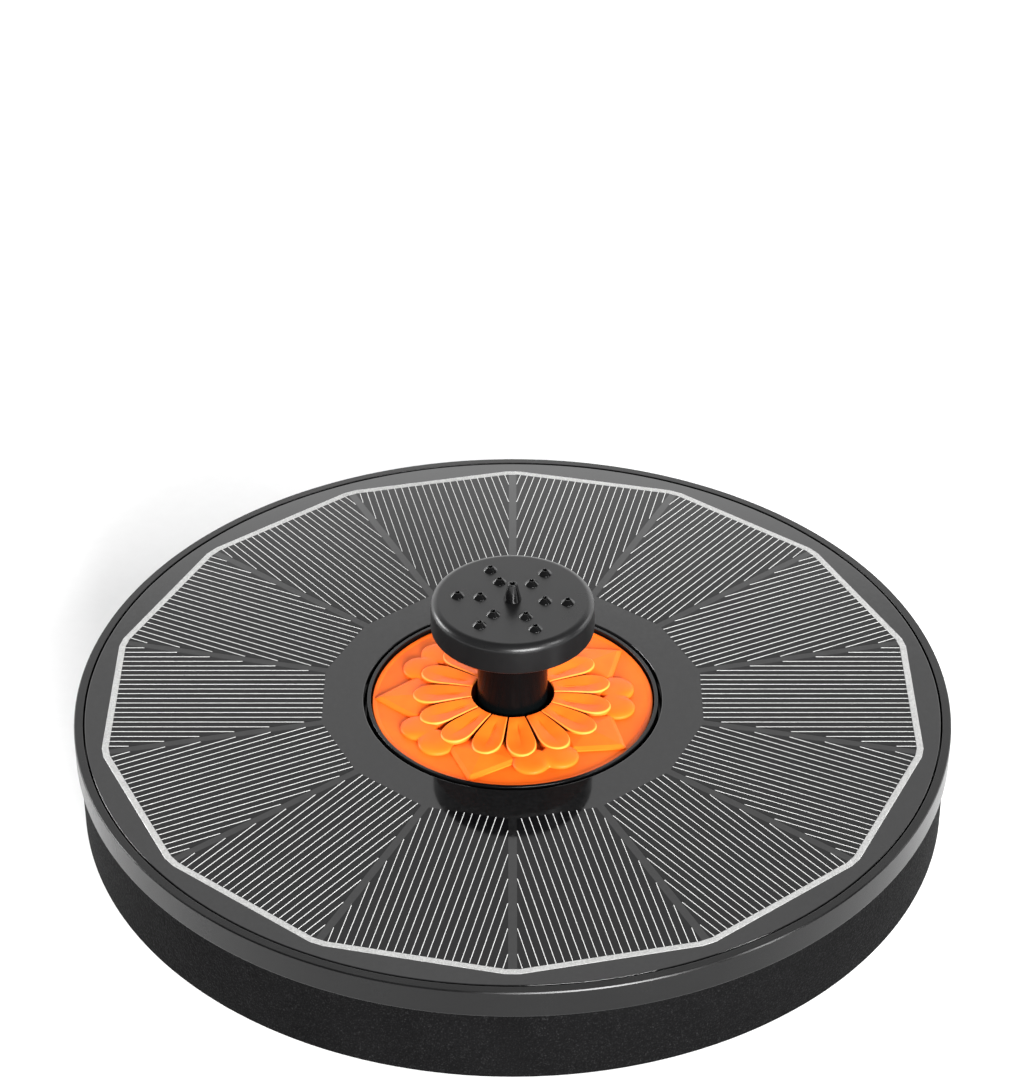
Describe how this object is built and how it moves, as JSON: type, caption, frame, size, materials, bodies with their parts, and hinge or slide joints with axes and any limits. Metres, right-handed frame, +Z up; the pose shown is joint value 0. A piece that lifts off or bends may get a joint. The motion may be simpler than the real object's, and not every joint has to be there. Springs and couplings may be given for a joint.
{
  "type": "solar fountain pump",
  "caption": "Floating round fountain pump driven by its own solar panel, with a multi-jet spray head on a central riser and a filtered intake under the float.",
  "frame": {"origin": "on the ground, under the centre of the intake basket's flat base", "axes": "+Z up along the riser; the pump's rotor stands beside the centre, towards -X"},
  "size_m": [0.16, 0.16, 0.0602],
  "materials": {
    "black_plastic": "black ABS moulding with a light sheen",
    "housing_plastic": "black ABS moulding, satin",
    "float_foam": "closed-cell black foam with a fine grain",
    "panel_board": "dark grey laminated board under clear resin",
    "solar_cell": "near-black silicon with fine printed silver lines, glossy",
    "tinned_ribbon": "tinned copper ribbon, speckled",
    "tape": "white double-sided foam tape",
    "orange_plastic": "orange moulding in relief, satin",
    "rubber": "black rubber",
    "stainless": "stainless steel",
    "core_iron": "stacked sheet iron",
    "copper_wire": "enamelled copper winding",
    "circuit_board": "green solder mask",
    "component": "dark moulded component",
    "potting_resin": "dark sealing resin",
    "ferrite": "dark sintered magnet",
    "white_plastic": "white moulding",
    "filter_foam": "open-cell black sponge",
    "red_lead": "red wire insulation"
  },
  "bodies": {
    "base": {"border_ribbon": "tinned_ribbon", "chamber_cover": "housing_plastic", "coil_1": "copper_wire", "coil_2": "copper_wire", "coil_3": "copper_wire", "coil_4": "copper_wire", "control_board": "circuit_board", "cover_screw_1": "stainless", "cover_screw_2": "stainless", "cover_screw_3": "stainless", "driver_chip": "component", "float_ring": "float_foam", "flower_insert": "orange_plastic", "housing_screw_1": "stainless", "housing_screw_2": "stainless", "housing_screw_3": "stainless", "housing_screw_4": "stainless", "housing_seal": "rubber", "motor_lead_negative": "rubber", "motor_lead_positive": "red_lead", "panel_board": "panel_board", "panel_lead_negative": "rubber", "panel_lead_positive": "red_lead", "panel_tape_inner": "tape", "panel_tape_outer": "tape", "potting_layer": "potting_resin", "pump_housing": "housing_plastic", "rotor_pin": "stainless", "smoothing_capacitor": "component", "solar_cell_01": "solar_cell", "solar_cell_02": "solar_cell", "solar_cell_03": "solar_cell", "solar_cell_04": "solar_cell", "solar_cell_05": "solar_cell", "solar_cell_06": "solar_cell", "solar_cell_07": "solar_cell", "solar_cell_08": "solar_cell", "solar_cell_09": "solar_cell", "solar_cell_10": "solar_cell", "solar_cell_11": "solar_cell", "solar_cell_12": "solar_cell", "solar_cell_13": "solar_cell", "solar_cell_14": "solar_cell", "stator_core": "core_iron", "thrust_washer_lower": "rubber", "thrust_washer_upper": "rubber", "top_housing": "black_plastic"},
    "rotor": {"rotor_magnet": "ferrite", "impeller": "white_plastic"},
    "riser": {"riser_tube": "black_plastic"},
    "spray_head": {"spray_head": "black_plastic"},
    "intake": {"intake_basket": "black_plastic", "filter_sponge": "filter_foam"}
  },
  "joints": [
    {"name": "rotor_spin", "type": "hinge", "parent": "base", "child": "rotor", "pos_m": [-0.017, 0, 0.0195], "axis": [0, 0, 1], "continuous": true},
    {"name": "riser_pull", "type": "slide", "parent": "base", "child": "riser", "axis": [0, 0, 1], "range_m": [0, 0.014]},
    {"name": "spray_head_turn", "type": "hinge", "parent": "riser", "child": "spray_head", "pos_m": [0, 0, 0.0535], "axis": [0, 0, 1], "continuous": true},
    {"name": "basket_pull", "type": "slide", "parent": "base", "child": "intake", "axis": [0, 0, -1], "range_m": [0, 0.012]}
  ]
}
